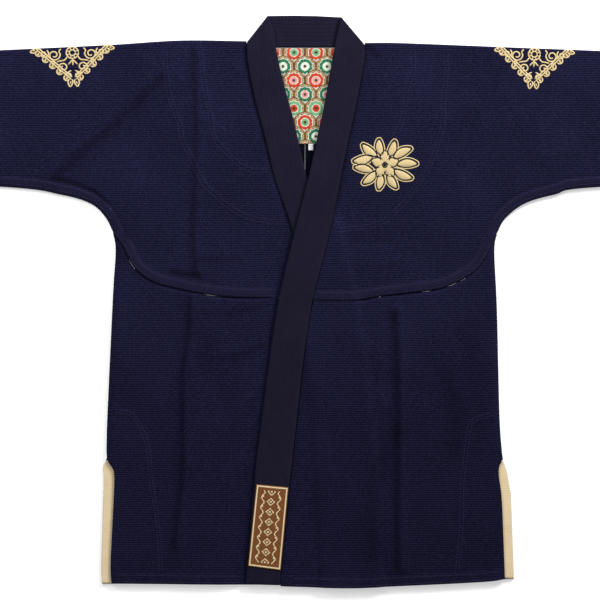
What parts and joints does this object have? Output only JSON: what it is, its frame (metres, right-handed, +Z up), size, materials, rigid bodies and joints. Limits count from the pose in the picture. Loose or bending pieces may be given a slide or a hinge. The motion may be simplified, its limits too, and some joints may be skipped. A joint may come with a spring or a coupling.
{
  "type": "jiu-jitsu gi jacket",
  "caption": "Long-sleeved wrap-front jacket laid flat, with stiff crossed lapels, a curved chest seam and side vents.",
  "frame": {"origin": "middle of the laid-out jacket's bounding box, on the surface that it lies on", "axes": "+X from the left cuff to the right cuff as one looks down on it, +Y from hem to neck, +Z up from the surface, the jacket's front up"},
  "size_m": [1.599, 0.8593, 0.0126],
  "materials": {
    "pearl_weave": "navy cotton pearl weave, matt",
    "lapel_drill": "navy cotton drill, matt",
    "printed_lining": "printed smooth cloth",
    "cream_tape": "ribbed cream cotton tape",
    "woven_label": "woven brown label with a cream border",
    "white_tab": "white satin tab"
  },
  "bodies": {
    "root": {"upper_left": "pearl_weave", "upper_right": "pearl_weave", "skirt_front_left": "pearl_weave", "skirt_front_right": "pearl_weave", "skirt_back": "pearl_weave", "lapel_under": "lapel_drill", "lapel_top": "lapel_drill", "neck_band": "lapel_drill", "neck_lining": "printed_lining", "vent_tape_left": "cream_tape", "vent_tape_right": "cream_tape", "lapel_label": "woven_label", "size_tab": "white_tab"}
  },
  "joints": []
}
